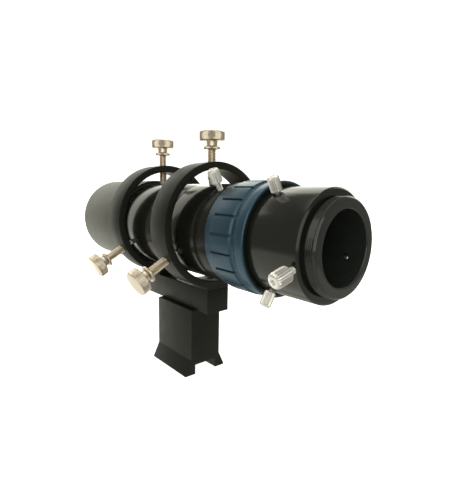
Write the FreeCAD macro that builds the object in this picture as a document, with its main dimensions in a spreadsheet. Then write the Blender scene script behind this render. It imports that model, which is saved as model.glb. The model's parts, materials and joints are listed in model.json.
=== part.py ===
import FreeCAD, Part
import Sketcher
import math
import os
import re

# Finder scope of 50 mm aperture with a helical focuser, held by two three-screw rings on a dovetail post.
# Frame: origin at the centre of the dovetail foot's underside, +Z up, +Y towards the sky along the
# optical axis, +X to the right as seen by someone looking through the scope.  Millimetres.

doc = FreeCAD.newDocument("FinderScope")

SIZES = {
    # dovetail post and bracket block
    "foot_width": 30.0,
    "neck_width": 21.2,
    "flare_height": 9.2,
    "post_height": 40.4,
    "post_length": 38.0,
    "channel_width": 15.3,
    "channel_depth": 5.9,
    "block_width": 15.5,
    "block_height": 14.0,
    "block_rear": -30.1,
    "block_front": 36.7,
    "bolt_radius": 2.0,
    "bolt_hole_radius": 2.1,
    "bolt_head_radius": 3.5,
    "bolt_head_height": 4.0,
    "bolt_head_well": 3.8,
    "bolt_head_recess": 0.4,
    "post_bolt_place": 8.5,
    "post_bolt_length": 24.0,
    # mounting rings
    "ring_outer": 35.25,
    "ring_inner": 31.15,
    "ring_width": 14.5,
    "ring_drop": 36.1,
    "ring_bolt_length": 13.6,
    "rear_ring_place": -22.85,
    "front_ring_place": 29.45,
    "scope_drop": 2.8,
    # alignment screws, M5
    "align_shank": 2.45,
    "align_hole": 2.5,
    "align_length": 23.2,
    "align_tip_length": 2.2,
    "align_tip_radius": 1.7,
    "align_neck": 3.3,
    "align_neck_length": 2.8,
    "align_head": 7.0,
    "align_head_height": 5.2,
    "align_edge": 0.8,
    "nut_radius": 4.6,
    "nut_height": 1.6,
    "nut_bore": 2.52,
    "nut_gap": 0.15,
    # main tube and dew shield
    "tube_outer": 26.1,
    "tube_inner": 23.9,
    "tube_rear": -41.6,
    "tube_front": 44.0,
    "seat_line_lead": 4.4,
    "seat_line_width": 0.5,
    "seat_line_depth": 0.35,
    "shield_outer": 28.6,
    "shield_inner": 27.7,
    "shield_rear": 37.7,
    "shield_front": 98.2,
    "baffle_outer": 23.8,
    "baffle_height": 1.0,
    "front_baffle_place": 20.0,
    "front_baffle_hole": 19.5,
    "rear_baffle_place": -12.0,
    "rear_baffle_hole": 17.5,
    # objective
    "cell_outer": 27.6,
    "cell_sleeve": 26.2,
    "cell_step": 44.2,
    "cell_seat": 46.0,
    "cell_seat_hole": 24.0,
    "cell_pocket": 25.15,
    "cell_front": 58.6,
    "lens_radius": 25.0,
    "flint_edge": 7.0,
    "inner_curve": 80.0,
    "spacer_height": 0.3,
    "spacer_hole": 24.0,
    "spacer_play": 0.025,
    "front_curve": 95.0,
    "crown_thickness": 9.35,
    "retainer_rear": 55.9,
    "retainer_hole": 23.2,
    # fixed focuser body
    "collar_outer": 26.0,
    "collar_rear": -50.3,
    "spigot_outer": 23.8,
    "spigot_front": -33.6,
    "draw_bore": 22.65,
    "sleeve_outer": 24.4,
    "sleeve_rear": -59.4,
    "catch_inner": 24.45,
    "catch_outer": 25.4,
    "catch_front": -57.9,
    # focus ring
    "grip_outer": 27.7,
    "grip_front_edge": 26.4,
    "grip_front_band": 26.9,
    "grip_front_bevel": 0.6,
    "pad_bevel": 0.5,
    "grip_front": -51.2,
    "pad_front": -56.1,
    "pad_rear": -70.0,
    "band_front": -72.4,
    "band_chamfer": -76.3,
    "grip_rear": -77.9,
    "grip_rear_edge": 26.4,
    "grip_valley": 26.7,
    "grip_bore": 24.46,
    "grip_shoulder": -57.6,
    "grip_cavity": 25.9,
    "pad_gap": 1.0,
    "pad_count": 20,
    "pad_phase": 11.9,
    "nut_sleeve_outer": 25.85,
    "nut_sleeve_front": -60.0,
    "nut_sleeve_rear": -70.0,
    "end_cap_inner": 24.9,
    "end_cap_front": -75.9,
    # draw tube
    "draw_outer": 22.6,
    "draw_inner": 20.8,
    "draw_front": -32.0,
    "draw_rear": -86.0,
    "clamp_groove_place": -82.6,
    "clamp_groove_floor": 21.7,
    "clamp_groove_width": 3.8,
    "clamp_groove_flat": 2.6,
    "key_angle": 300.0,
    "key_place": -46.0,
    "key_radius": 1.2,
    "key_recess": 0.2,
    "key_slot_width": 2.6,
    "key_slot_floor": 21.2,
    "key_slot_rear": -47.6,
    # rear adapter
    "barrel_outer": 24.6,
    "barrel_front": -72.0,
    "barrel_rear": -105.0,
    "barrel_socket": 22.66,
    "barrel_step": -86.4,
    "barrel_bore": 20.1,
    "barrel_chamfer": 0.9,
    "holder_outer": 20.0,
    "holder_bore": 15.95,
    "holder_stop": -80.0,
    "holder_stop_hole": 13.5,
    "holder_front": -78.0,
    "thread_outer": 21.0,
    "thread_rear": -110.0,
    "thread_chamfer": 0.7,
    # small thumbscrews, M3
    "thumb_shank": 1.45,
    "thumb_hole": 1.5,
    "lock_head": 3.0,
    "lock_head_height": 7.2,
    "adapter_head": 2.6,
    "adapter_head_height": 7.0,
    "eyepiece_head": 3.4,
    "eyepiece_head_height": 7.9,
    "thumb_edge": 1.0,
    "thumb_neck": 1.7,
    "thumb_neck_length": 0.4,
    "thumb_tip_radius": 1.1,
    "thumb_tip_length": 1.0,
    "adapter_screw_reach": 25.3,
    "eyepiece_screw_place": -102.6,
    "eyepiece_screw_reach": 28.1,
    "eyepiece_screw_tip": 16.4,
    "eyepiece_screw_angle": 196.5,
    "far_eyepiece_screw_place": -100.8,
    "far_eyepiece_screw_reach": 25.9,
    "far_eyepiece_screw_angle": 338.0,
    "focus_lock_place": -45.9,
    "focus_lock_reach": 30.0,
    "focus_lock_angle": 119.0,
    "adapter_screw_angle": 118.0,
    # clearances and the reach of cuts past the face they open
    "contact_gap": 0.05,
    "cut_past": 2.0,
    "radial_cut": 15.0,
}

sheet = doc.addObject("Spreadsheet::Sheet", "Sizes")
for row, (alias, number) in enumerate(SIZES.items(), start=1):
    sheet.set(f"A{row}", alias)
    sheet.set(f"B{row}", str(number))
    sheet.setAlias(f"B{row}", alias)
doc.recompute()

RING_AXIS = "post_height + block_height + ring_drop"
SCOPE_AXIS = RING_AXIS + " - scope_drop"
parts = []


def bound(expression):
    """The same expression with every sheet alias written as a reference to the sheet."""
    return re.sub(r"[a-z_]+", lambda found: "Sizes." + found.group() if found.group() in SIZES
                  else found.group(), expression)


def number(expression):
    """The present value of an expression of sheet aliases."""
    return float(sheet.evalExpression(bound(expression)))


def keep(piece, label):
    piece.Label = label
    parts.append(piece)
    return piece


# ---- building blocks ---------------------------------------------------------------------------

def origin_feature(body, role):
    for feature in body.Origin.OriginFeatures:
        if feature.Role == role:
            return feature
    raise ValueError(role)


def add_sketch(body, name, plane, lift="0"):
    sketch = body.newObject("Sketcher::SketchObject", name)
    sketch.AttachmentSupport = (origin_feature(body, plane), [""])
    sketch.MapMode = "FlatFace"
    sketch.setExpression(".AttachmentOffset.Base.z", bound(lift))
    return sketch


def draw_outline(sketch, points):
    """A closed polygon whose corners are pairs of expressions, across and up in the sketch."""
    corners = [FreeCAD.Vector(number(across), number(up), 0) for across, up in points]
    count = len(corners)
    for index in range(count):
        sketch.addGeometry(Part.LineSegment(corners[index], corners[(index + 1) % count]), False)
    for index in range(count):
        sketch.addConstraint(Sketcher.Constraint("Coincident", index, 2, (index + 1) % count, 1))
    for index, (across, up) in enumerate(points):
        for kind, expression in (("DistanceX", across), ("DistanceY", up)):
            place = sketch.addConstraint(Sketcher.Constraint(kind, -1, 1, index, 1, number(expression)))
            sketch.setExpression(f"Constraints[{place}]", bound(expression))


def draw_circle(sketch, across, up, radius):
    centre = FreeCAD.Vector(number(across), number(up), 0)
    circle = sketch.addGeometry(Part.Circle(centre, FreeCAD.Vector(0, 0, 1), number(radius)), False)
    wanted = (("DistanceX", across), ("DistanceY", up))
    for kind, expression in wanted:
        place = sketch.addConstraint(Sketcher.Constraint(kind, -1, 1, circle, 3, number(expression)))
        sketch.setExpression(f"Constraints[{place}]", bound(expression))
    place = sketch.addConstraint(Sketcher.Constraint("Radius", circle, number(radius)))
    sketch.setExpression(f"Constraints[{place}]", bound(radius))


def new_body(label, height="0", along="0"):
    body = keep(doc.addObject("PartDesign::Body", label), label)
    body.setExpression(".Placement.Base.y", bound(along))
    body.setExpression(".Placement.Base.z", bound(height))
    return body


def turned(label, points, height=SCOPE_AXIS):
    """A part turned about the Y axis from an outline of (station, radius) corners."""
    body = new_body(label, height)
    sketch = add_sketch(body, label + "_outline", "YZ_Plane")
    draw_outline(sketch, points)
    turn = body.newObject("PartDesign::Revolution", label + "_turn")
    turn.Profile = sketch
    turn.ReferenceAxis = (sketch, ["H_Axis"])
    turn.Angle = 360.0
    return body


def tube_points(rear, front, inner, outer):
    return [(rear, inner), (front, inner), (front, outer), (rear, outer)]


def swept_cut(body, name, sketch, length, reversed_cut=False):
    cut = body.newObject("PartDesign::Pocket", name)
    cut.Profile = sketch
    cut.Type = "Length"
    cut.setExpression("Length", bound(length))
    cut.Reversed = reversed_cut
    return cut


def radial_hole(body, name, station, radius, angle, start, depth):
    """A round hole along a radius of a turned part, cut outwards from a start radius."""
    sketch = add_sketch(body, name + "_circle", "XY_Plane")
    turn = f"90 - ({angle})"
    sketch.AttachmentOffset = FreeCAD.Placement(
        FreeCAD.Vector(0, 0, 0), FreeCAD.Rotation(FreeCAD.Vector(0, 1, 0), number(turn)))
    across = math.radians(number(turn))
    sketch.setExpression(".AttachmentOffset.Base.x", bound(start) + f" * {math.sin(across):.9f}")
    sketch.setExpression(".AttachmentOffset.Base.z", bound(start) + f" * {math.cos(across):.9f}")
    draw_circle(sketch, "0", station, radius)
    return swept_cut(body, name, sketch, depth, reversed_cut=True)


def placed_radially(piece, angle, station, height, reach):
    """Puts a piece built along +Z on the radius at an angle, its base at the reach from the axis."""
    tilt = 90.0 - number(angle)
    across = math.radians(tilt)
    piece.Placement = FreeCAD.Placement(
        FreeCAD.Vector(0, 0, 0), FreeCAD.Rotation(FreeCAD.Vector(0, 1, 0), tilt))
    piece.setExpression(".Placement.Base.x", f"({bound(reach)}) * {math.sin(across):.9f}")
    piece.setExpression(".Placement.Base.y", bound(station))
    piece.setExpression(".Placement.Base.z",
                        f"{bound(height)} + ({bound(reach)}) * {math.cos(across):.9f}")


def upright(label, points):
    """A part turned about the Z axis from an outline of (radius, height) corners."""
    body = keep(doc.addObject("PartDesign::Body", label), label)
    sketch = add_sketch(body, label + "_outline", "XZ_Plane")
    draw_outline(sketch, points)
    turn = body.newObject("PartDesign::Revolution", label + "_turn")
    turn.Profile = sketch
    turn.ReferenceAxis = (sketch, ["V_Axis"])
    turn.Angle = 360.0
    return body


# ---- bracket: post, block, rings and bolts ------------------------------------------------------

def make_post():
    body = new_body("dovetail_post")
    sketch = add_sketch(body, "post_section", "XZ_Plane")
    right_side = [("channel_width / 2", "channel_depth"), ("channel_width / 2", "0"),
                  ("foot_width / 2", "0"), ("neck_width / 2", "flare_height"),
                  ("neck_width / 2", "post_height")]
    left_side = [("-" + across, up) for across, up in reversed(right_side)]
    draw_outline(sketch, right_side + left_side)
    pad = body.newObject("PartDesign::Pad", "post_bar")
    pad.Profile = sketch
    pad.setExpression("Length", bound("post_length"))
    pad.Midplane = True
    holes = add_sketch(body, "post_bolt_circles", "XY_Plane", "post_height")
    for side in ("-", ""):
        draw_circle(holes, "0", side + "post_bolt_place", "bolt_hole_radius")
    swept_cut(body, "post_bolt_holes", holes,
              "post_bolt_length - block_height + bolt_head_height + cut_past")


def make_block():
    body = new_body("bracket_block", "post_height")
    sketch = add_sketch(body, "block_plan", "XY_Plane")
    half = "block_width / 2"
    draw_outline(sketch, [("-" + half, "block_rear"), (half, "block_rear"),
                          (half, "block_front"), ("-" + half, "block_front")])
    pad = body.newObject("PartDesign::Pad", "block_bar")
    pad.Profile = sketch
    pad.setExpression("Length", bound("block_height"))
    holes = add_sketch(body, "block_bolt_circles", "XY_Plane", "block_height")
    post_places = ("-post_bolt_place", "post_bolt_place")
    ring_places = ("rear_ring_place", "front_ring_place")
    for place in post_places + ring_places:
        draw_circle(holes, "0", place, "bolt_hole_radius")
    swept_cut(body, "block_bolt_holes", holes, "block_height")
    top_wells = add_sketch(body, "block_top_circles", "XY_Plane", "block_height")
    for place in post_places:
        draw_circle(top_wells, "0", place, "bolt_head_well")
    swept_cut(body, "block_top_wells", top_wells, "bolt_head_height + bolt_head_recess")
    under_wells = add_sketch(body, "block_under_circles", "XY_Plane")
    for place in ring_places:
        draw_circle(under_wells, "0", place, "bolt_head_well")
    swept_cut(body, "block_under_wells", under_wells, "bolt_head_height + bolt_head_recess",
              reversed_cut=True)


def make_ring(label, place):
    body = new_body(label, RING_AXIS, place)
    foot = add_sketch(body, label + "_foot_section", "XZ_Plane")
    half = "block_width / 2"
    foot_top = "(0 - ring_inner - ring_outer) / 2"
    draw_outline(foot, [("-" + half, "-ring_drop"), (half, "-ring_drop"),
                        (half, foot_top), ("-" + half, foot_top)])
    disc = add_sketch(body, label + "_disc_section", "XZ_Plane")
    draw_circle(disc, "0", "0", "ring_outer")
    for name, sketch in (("_foot", foot), ("_disc", disc)):
        pad = body.newObject("PartDesign::Pad", label + name)
        pad.Profile = sketch
        pad.setExpression("Length", bound("ring_width"))
        pad.Midplane = True
    bore = add_sketch(body, label + "_bore_section", "XZ_Plane")
    draw_circle(bore, "0", "0", "ring_inner")
    cut = swept_cut(body, label + "_bore", bore, "ring_width + cut_past")
    cut.Midplane = True
    bolt_hole = add_sketch(body, label + "_bolt_section", "XY_Plane")
    draw_circle(bolt_hole, "0", "0", "bolt_hole_radius")
    swept_cut(body, label + "_bolt_hole", bolt_hole, "ring_drop + cut_past")
    screw_hole = add_sketch(body, label + "_hole_section", "XY_Plane")
    draw_circle(screw_hole, "0", "0", "align_hole")
    first_hole = swept_cut(body, label + "_hole", screw_hole, "ring_outer + cut_past", reversed_cut=True)
    pattern = body.newObject("PartDesign::PolarPattern", label + "_three_holes")
    pattern.Originals = [first_hole]
    pattern.Axis = (origin_feature(body, "Y_Axis"), [""])
    pattern.Angle = 360.0
    pattern.Occurrences = 3
    body.Tip = pattern


def make_bolt(label, place, base, length, points_up):
    """A socket-head bolt with its head's seat at the base height."""
    bolt = upright(label, [("0", "0"), ("0", "-bolt_head_height"), ("bolt_head_radius", "-bolt_head_height"),
                           ("bolt_head_radius", "0"), ("bolt_radius", "0"), ("bolt_radius", length),
                           ("0", length)])
    bolt.setExpression(".Placement.Base.y", bound(place))
    if not points_up:
        bolt.Placement = FreeCAD.Placement(FreeCAD.Vector(0, 0, 0), FreeCAD.Rotation(1, 0, 0, 0))
    bolt.setExpression(".Placement.Base.z", bound(base))


make_post()
make_block()
make_ring("front_ring", "front_ring_place")
make_ring("rear_ring", "rear_ring_place")
under_seat = "post_height + bolt_head_height + bolt_head_recess"
top_seat = "post_height + block_height - bolt_head_height - bolt_head_recess"
make_bolt("front_ring_bolt", "front_ring_place", under_seat, "ring_bolt_length", True)
make_bolt("rear_ring_bolt", "rear_ring_place", under_seat, "ring_bolt_length", True)
make_bolt("front_post_bolt", "post_bolt_place", top_seat, "post_bolt_length", False)
make_bolt("rear_post_bolt", "-post_bolt_place", top_seat, "post_bolt_length", False)


# ---- optical tube -------------------------------------------------------------------------------

def seat_line(ring_place):
    """Corners of the narrow witness line turned just ahead of a ring's screws."""
    rear = f"{ring_place} + seat_line_lead - seat_line_width / 2"
    front = f"{ring_place} + seat_line_lead + seat_line_width / 2"
    floor = "tube_outer - seat_line_depth"
    return [(front, "tube_outer"), (front, floor), (rear, floor), (rear, "tube_outer")]


turned("main_tube", [("tube_rear", "tube_inner"), ("tube_front", "tube_inner"), ("tube_front", "tube_outer")]
       + seat_line("front_ring_place") + seat_line("rear_ring_place") + [("tube_rear", "tube_outer")])
turned("dew_shield", tube_points("shield_rear", "shield_front", "shield_inner", "shield_outer"))
turned("objective_cell", [
    ("shield_rear", "cell_sleeve"), ("cell_step", "cell_sleeve"), ("cell_step", "cell_seat_hole"),
    ("cell_seat", "cell_seat_hole"), ("cell_seat", "cell_pocket"), ("cell_front", "cell_pocket"),
    ("cell_front", "cell_outer"), ("shield_rear", "cell_outer")])
for baffle in ("front_baffle", "rear_baffle"):
    turned(baffle, tube_points(baffle + "_place", baffle + "_place + baffle_height",
                               baffle + "_hole", "baffle_outer"))


def make_lens_spacer():
    """A thin dished ring at the rim of the air gap, sloped like the two curves that it parts."""
    rear = "cell_seat + flint_edge + spacer_play"
    front = "cell_seat + flint_edge + spacer_height - spacer_play"
    rise = ("(sqrt(inner_curve * inner_curve - spacer_hole * spacer_hole)"
            " - sqrt(inner_curve * inner_curve - lens_radius * lens_radius))")
    turned("lens_spacer", [(f"{rear} - {rise}", "spacer_hole"), (f"{front} - {rise}", "spacer_hole"),
                           (front, "lens_radius"), (rear, "lens_radius")])


make_lens_spacer()
turned("lens_retainer", tube_points("retainer_rear", "cell_front",
                                    "retainer_hole", "cell_pocket - contact_gap"))


def disc(name, rear, height):
    """A lens blank along +Y on the optical axis."""
    blank = doc.addObject("Part::Cylinder", name)
    blank.Placement = FreeCAD.Placement(
        FreeCAD.Vector(0, 0, 0), FreeCAD.Rotation(FreeCAD.Vector(1, 0, 0), -90))
    blank.setExpression("Radius", bound("lens_radius"))
    blank.setExpression("Height", bound(height))
    blank.setExpression(".Placement.Base.y", bound(rear))
    blank.setExpression(".Placement.Base.z", bound(SCOPE_AXIS))
    return blank


def ball(name, centre, radius):
    sphere = doc.addObject("Part::Sphere", name)
    sphere.setExpression("Radius", bound(radius))
    sphere.setExpression(".Placement.Base.y", bound(centre))
    sphere.setExpression(".Placement.Base.z", bound(SCOPE_AXIS))
    return sphere


def make_lenses():
    crown_rear = "cell_seat + flint_edge + spacer_height"
    inner_height = "sqrt(inner_curve * inner_curve - lens_radius * lens_radius)"
    flint = doc.addObject("Part::Cut", "flint_lens")
    flint.Base = disc("flint_blank", "cell_seat", "flint_edge")
    flint.Tool = ball("flint_hollow", f"cell_seat + flint_edge + {inner_height}", "inner_curve")
    keep(flint, "flint_lens")
    rear_vertex = f"{crown_rear} - inner_curve + {inner_height}"
    crown = doc.addObject("Part::MultiCommon", "crown_lens")
    crown.Shapes = [
        disc("crown_blank", rear_vertex, "crown_thickness"),
        ball("crown_rear_curve", f"{crown_rear} + {inner_height}", "inner_curve"),
        ball("crown_front_curve", f"{rear_vertex} + crown_thickness - front_curve", "front_curve")]
    keep(crown, "crown_lens")


make_lenses()


# ---- focuser ------------------------------------------------------------------------------------

def make_focuser_body():
    body = turned("focuser_body", [
        ("sleeve_rear", "draw_bore"), ("spigot_front", "draw_bore"), ("spigot_front", "spigot_outer"),
        ("tube_rear", "spigot_outer"), ("tube_rear", "collar_outer"), ("collar_rear", "collar_outer"),
        ("collar_rear", "sleeve_outer"), ("sleeve_rear", "sleeve_outer")])
    radial_hole(body, "focus_lock_hole", "focus_lock_place", "thumb_hole", "focus_lock_angle",
                "draw_inner", "radial_cut")
    radial_hole(body, "key_hole", "key_place", "key_radius + contact_gap", "key_angle",
                "draw_inner", "radial_cut")


def make_focus_ring():
    body = turned("focus_ring", [
        ("grip_front", "grip_bore"), ("grip_front", "grip_front_edge"),
        ("grip_front - grip_front_bevel", "grip_front_band"), ("pad_front", "grip_front_band"),
        ("pad_front - pad_bevel", "grip_outer"), ("pad_rear", "grip_outer"), ("pad_rear", "grip_valley"),
        ("band_front", "grip_valley"), ("band_front", "grip_outer"), ("band_chamfer", "grip_outer"),
        ("grip_rear", "grip_rear_edge"), ("grip_rear", "grip_cavity"),
        ("grip_shoulder", "grip_cavity"), ("grip_shoulder", "grip_bore")])
    groove = add_sketch(body, "pad_groove_section", "XZ_Plane", "-pad_front")
    half = "pad_gap / 2"
    draw_outline(groove, [("-" + half, "grip_valley"), (half, "grip_valley"),
                          (half, "grip_outer + cut_past"), ("-" + half, "grip_outer + cut_past")])
    first_groove = swept_cut(body, "pad_groove", groove, "pad_front - pad_rear", reversed_cut=True)
    pattern = body.newObject("PartDesign::PolarPattern", "pad_grooves")
    pattern.Originals = [first_groove]
    pattern.Axis = (origin_feature(body, "Y_Axis"), [""])
    pattern.Angle = 360.0
    pattern.setExpression("Occurrences", bound("pad_count"))
    body.Tip = pattern
    body.Placement = FreeCAD.Placement(
        FreeCAD.Vector(0, 0, 0), FreeCAD.Rotation(FreeCAD.Vector(0, 1, 0), 90 - number("pad_phase")))
    body.setExpression(".Placement.Base.z", bound(SCOPE_AXIS))


def make_draw_tube():
    lip = "clamp_groove_width / 2"
    flat = "clamp_groove_flat / 2"
    body = turned("draw_tube", [
        ("draw_rear", "draw_inner"), ("draw_front", "draw_inner"), ("draw_front", "draw_outer"),
        ("clamp_groove_place + " + lip, "draw_outer"),
        ("clamp_groove_place + " + flat, "clamp_groove_floor"),
        ("clamp_groove_place - " + flat, "clamp_groove_floor"),
        ("clamp_groove_place - " + lip, "draw_outer"), ("draw_rear", "draw_outer")])
    slot = add_sketch(body, "key_slot_section", "XY_Plane")
    tilt = 90.0 - number("key_angle")
    across = math.radians(tilt)
    slot.AttachmentOffset = FreeCAD.Placement(
        FreeCAD.Vector(0, 0, 0), FreeCAD.Rotation(FreeCAD.Vector(0, 1, 0), tilt))
    slot.setExpression(".AttachmentOffset.Base.x", bound("key_slot_floor") + f" * {math.sin(across):.9f}")
    slot.setExpression(".AttachmentOffset.Base.z", bound("key_slot_floor") + f" * {math.cos(across):.9f}")
    half = "key_slot_width / 2"
    draw_outline(slot, [("-" + half, "key_slot_rear"), (half, "key_slot_rear"),
                        (half, "draw_front + cut_past"), ("-" + half, "draw_front + cut_past")])
    swept_cut(body, "key_slot", slot, "draw_outer - key_slot_floor + cut_past", reversed_cut=True)


def make_guide_key():
    """A pin through the collar, short of the slot's floor and of the collar's outside."""
    top = "collar_outer - key_slot_floor - 2 * key_recess"
    key = upright("guide_key", [("0", "0"), ("key_radius", "0"), ("key_radius", top), ("0", top)])
    placed_radially(key, "key_angle", "key_place", SCOPE_AXIS, "key_slot_floor + key_recess")


make_focuser_body()
turned("ring_catch", tube_points("sleeve_rear", "catch_front", "catch_inner", "catch_outer"))
make_guide_key()
make_focus_ring()
turned("helical_nut", tube_points("nut_sleeve_rear", "nut_sleeve_front", "draw_bore", "nut_sleeve_outer"))
turned("end_cap", tube_points("grip_rear", "end_cap_front", "end_cap_inner", "nut_sleeve_outer"))
make_draw_tube()


# ---- rear adapter -------------------------------------------------------------------------------

ADAPTER_SCREWS = {"upper_adapter_screw": 0, "lower_adapter_screw": 120, "right_adapter_screw": 240}
EYEPIECE_SCREWS = {"eyepiece_screw": "eyepiece_head", "far_eyepiece_screw": "adapter_head"}


def make_adapter():
    body = turned("adapter_barrel", [
        ("barrel_front", "barrel_socket"), ("barrel_step", "barrel_socket"), ("barrel_step", "barrel_bore"),
        ("barrel_rear", "barrel_bore"), ("barrel_rear", "barrel_outer - barrel_chamfer"),
        ("barrel_rear + barrel_chamfer", "barrel_outer"), ("barrel_front", "barrel_outer")])
    for name, turn in ADAPTER_SCREWS.items():
        radial_hole(body, name + "_hole", "clamp_groove_place", "thumb_hole",
                    f"adapter_screw_angle + {turn}", "draw_inner", "radial_cut")
    for name in EYEPIECE_SCREWS:
        radial_hole(body, name + "_hole", name + "_place", "thumb_hole",
                    name + "_angle", "holder_bore", "radial_cut")
    holder = turned("eyepiece_holder", [
        ("holder_front", "holder_stop_hole"), ("holder_front", "holder_outer"),
        ("barrel_rear", "holder_outer"), ("barrel_rear", "thread_outer"),
        ("thread_rear + thread_chamfer", "thread_outer"), ("thread_rear", "thread_outer - thread_chamfer"),
        ("thread_rear", "holder_bore"), ("holder_stop", "holder_bore"),
        ("holder_stop", "holder_stop_hole")])
    for name in EYEPIECE_SCREWS:
        radial_hole(holder, name + "_inner_hole", name + "_place", "thumb_hole",
                    name + "_angle", "holder_stop_hole", "radial_cut")


make_adapter()


# ---- screws -------------------------------------------------------------------------------------

def make_screw_set(label, angle, station, height, tip_reach, shank, sizes):
    """A pressure tip and a knurled screw on one radius; sizes names the tip and head dimensions."""
    tip_radius, tip_length, neck, neck_length, head, head_height, edge = sizes
    tip = upright(label + "_tip", [("0", "0"), (tip_radius, "0"), (tip_radius, tip_length),
                                   ("0", tip_length)])
    placed_radially(tip, angle, station, height, tip_reach)
    top = f"{shank} + {head_height}"
    screw = upright(label, [
        ("0", tip_length), (neck[0], tip_length), (neck[0], f"{shank} - {neck_length}"),
        (neck[1], f"{shank} - {neck_length}"), (neck[1], shank), (f"{head} - {edge} / 2", shank),
        (head, f"{shank} + {edge} / 2"), (head, f"{top} - {edge}"), (f"{head} - {edge}", top), ("0", top)])
    placed_radially(screw, angle, station, height, tip_reach)


def make_alignment_sets():
    """Three screws with lock nuts in each ring, all of one length, their tips against the tube."""
    sizes = ("align_tip_radius", "align_tip_length", ("align_shank", "align_neck"),
             "align_neck_length", "align_head", "align_head_height", "align_edge")
    drop = number("scope_drop")
    for ring in ("front", "rear"):
        for side, angle in (("top", 90.0), ("left", 210.0), ("right", 330.0)):
            along = -drop * math.sin(math.radians(angle))
            aside = abs(drop * math.cos(math.radians(angle)))
            # The tube hangs below the ring's axis, so a tip's near edge meets it first.
            near_edge = max(aside - number("align_tip_radius"), 0.0)
            reach = f"sqrt(tube_outer * tube_outer - {near_edge ** 2:.9f}) + {along:.9f} + contact_gap"
            label = f"{ring}_{side}_screw"
            make_screw_set(label, str(angle), f"{ring}_ring_place", RING_AXIS, reach, "align_length", sizes)
            base = "align_length - align_neck_length - nut_height - nut_gap"
            nut = upright(f"{ring}_{side}_nut", [
                ("nut_bore", base), ("nut_radius", base), ("nut_radius", base + " + nut_height"),
                ("nut_bore", base + " + nut_height")])
            placed_radially(nut, str(angle), f"{ring}_ring_place", RING_AXIS, reach)


def make_thumbscrew(label, angle, station, tip_end, head_base, head):
    """One M3 screw; head names the alias of its head's radius."""
    sizes = ("thumb_tip_radius", "thumb_tip_length", ("thumb_shank", "thumb_neck"),
             "thumb_neck_length", head, head + "_height", "thumb_edge")
    make_screw_set(label, angle, station, SCOPE_AXIS, tip_end, f"({head_base}) - ({tip_end})", sizes)


make_alignment_sets()
for screw_name, screw_turn in ADAPTER_SCREWS.items():
    make_thumbscrew(screw_name, f"adapter_screw_angle + {screw_turn}", "clamp_groove_place",
                    "clamp_groove_floor + contact_gap", "adapter_screw_reach", "adapter_head")
for screw_name, screw_head in EYEPIECE_SCREWS.items():
    make_thumbscrew(screw_name, screw_name + "_angle", screw_name + "_place",
                    "eyepiece_screw_tip", screw_name + "_reach", screw_head)
make_thumbscrew("focus_lock_screw", "focus_lock_angle", "focus_lock_place",
                "draw_outer + contact_gap", "focus_lock_reach", "lock_head")


# ---- checks and files ---------------------------------------------------------------------------

doc.recompute()
for item in doc.Objects:
    if "Invalid" in item.State or "Error" in item.State:
        raise RuntimeError(f"{item.Label} failed: {item.State}")
os.makedirs("parts", exist_ok=True)
for piece in parts:
    shape = piece.Shape
    if shape.isNull() or not shape.isValid():
        raise RuntimeError(f"{piece.Label} has no valid shape")
    if len(shape.Solids) != 1:
        raise RuntimeError(f"{piece.Label} has {len(shape.Solids)} solids")
    shape.exportStep(f"parts/{piece.Label}.step")
    print(f"{piece.Label:28s} {shape.Volume:10.1f} mm3")
print(len(parts), "parts")
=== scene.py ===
import json
import math

import bmesh
import bpy
from mathutils import Matrix, Vector


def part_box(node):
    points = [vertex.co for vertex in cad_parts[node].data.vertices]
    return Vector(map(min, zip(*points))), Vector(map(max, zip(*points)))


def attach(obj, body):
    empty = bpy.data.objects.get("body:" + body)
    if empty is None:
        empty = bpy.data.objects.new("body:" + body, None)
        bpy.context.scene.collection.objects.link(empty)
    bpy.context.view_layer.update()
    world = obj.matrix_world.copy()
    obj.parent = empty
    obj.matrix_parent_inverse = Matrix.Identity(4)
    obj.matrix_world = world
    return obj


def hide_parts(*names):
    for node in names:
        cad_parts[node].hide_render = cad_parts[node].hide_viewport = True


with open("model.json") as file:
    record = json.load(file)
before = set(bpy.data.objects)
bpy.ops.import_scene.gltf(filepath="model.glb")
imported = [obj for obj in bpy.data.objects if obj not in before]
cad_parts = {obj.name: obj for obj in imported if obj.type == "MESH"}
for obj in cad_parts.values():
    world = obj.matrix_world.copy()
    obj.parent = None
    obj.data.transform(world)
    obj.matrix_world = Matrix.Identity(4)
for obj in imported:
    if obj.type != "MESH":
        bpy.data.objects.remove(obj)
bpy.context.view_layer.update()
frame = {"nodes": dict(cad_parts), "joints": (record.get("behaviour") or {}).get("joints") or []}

# Looks of the finder scope. Sizes are in millimetres until a mesh is made, in the CAD's own frame:
# +Y along the optical axis towards the sky, +Z up, +X to the right.
MM = 0.001
# A length too small to count, and how close two points are before they are joined into one.
TINY, WELD = 1e-6, 1e-7
SHARP_ANGLE = math.radians(32)
LATHE_SEGMENTS = 192
JOINTS = {joint["name"]: joint for joint in frame["joints"]}
# Turns a flat outline drawn in local X and Y up to face along the optical axis.
STAND_UP = Matrix(((1, 0, 0, 0), (0, 0, -1, 0), (0, 1, 0, 0), (0, 0, 0, 1)))
# Turns a shape spun about local Z onto the optical axis, with its heights as stations.
LIE_DOWN = Matrix(((1, 0, 0, 0), (0, 0, 1, 0), (0, 1, 0, 0), (0, 0, 0, 1)))


def rear_of(node):
    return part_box(node)[0].y / MM


def front_of(node):
    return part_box(node)[1].y / MM


def radius_of(node):
    low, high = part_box(node)
    return (high.z - low.z) / 2 / MM


def middle_of(node):
    low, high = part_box(node)
    return (high.y + low.y) / 2 / MM


SCOPE_HEIGHT = sum(corner.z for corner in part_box("main_tube")) / 2 / MM
TUBE = radius_of("main_tube")


# ---- mesh helpers -------------------------------------------------------------------------------

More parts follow.
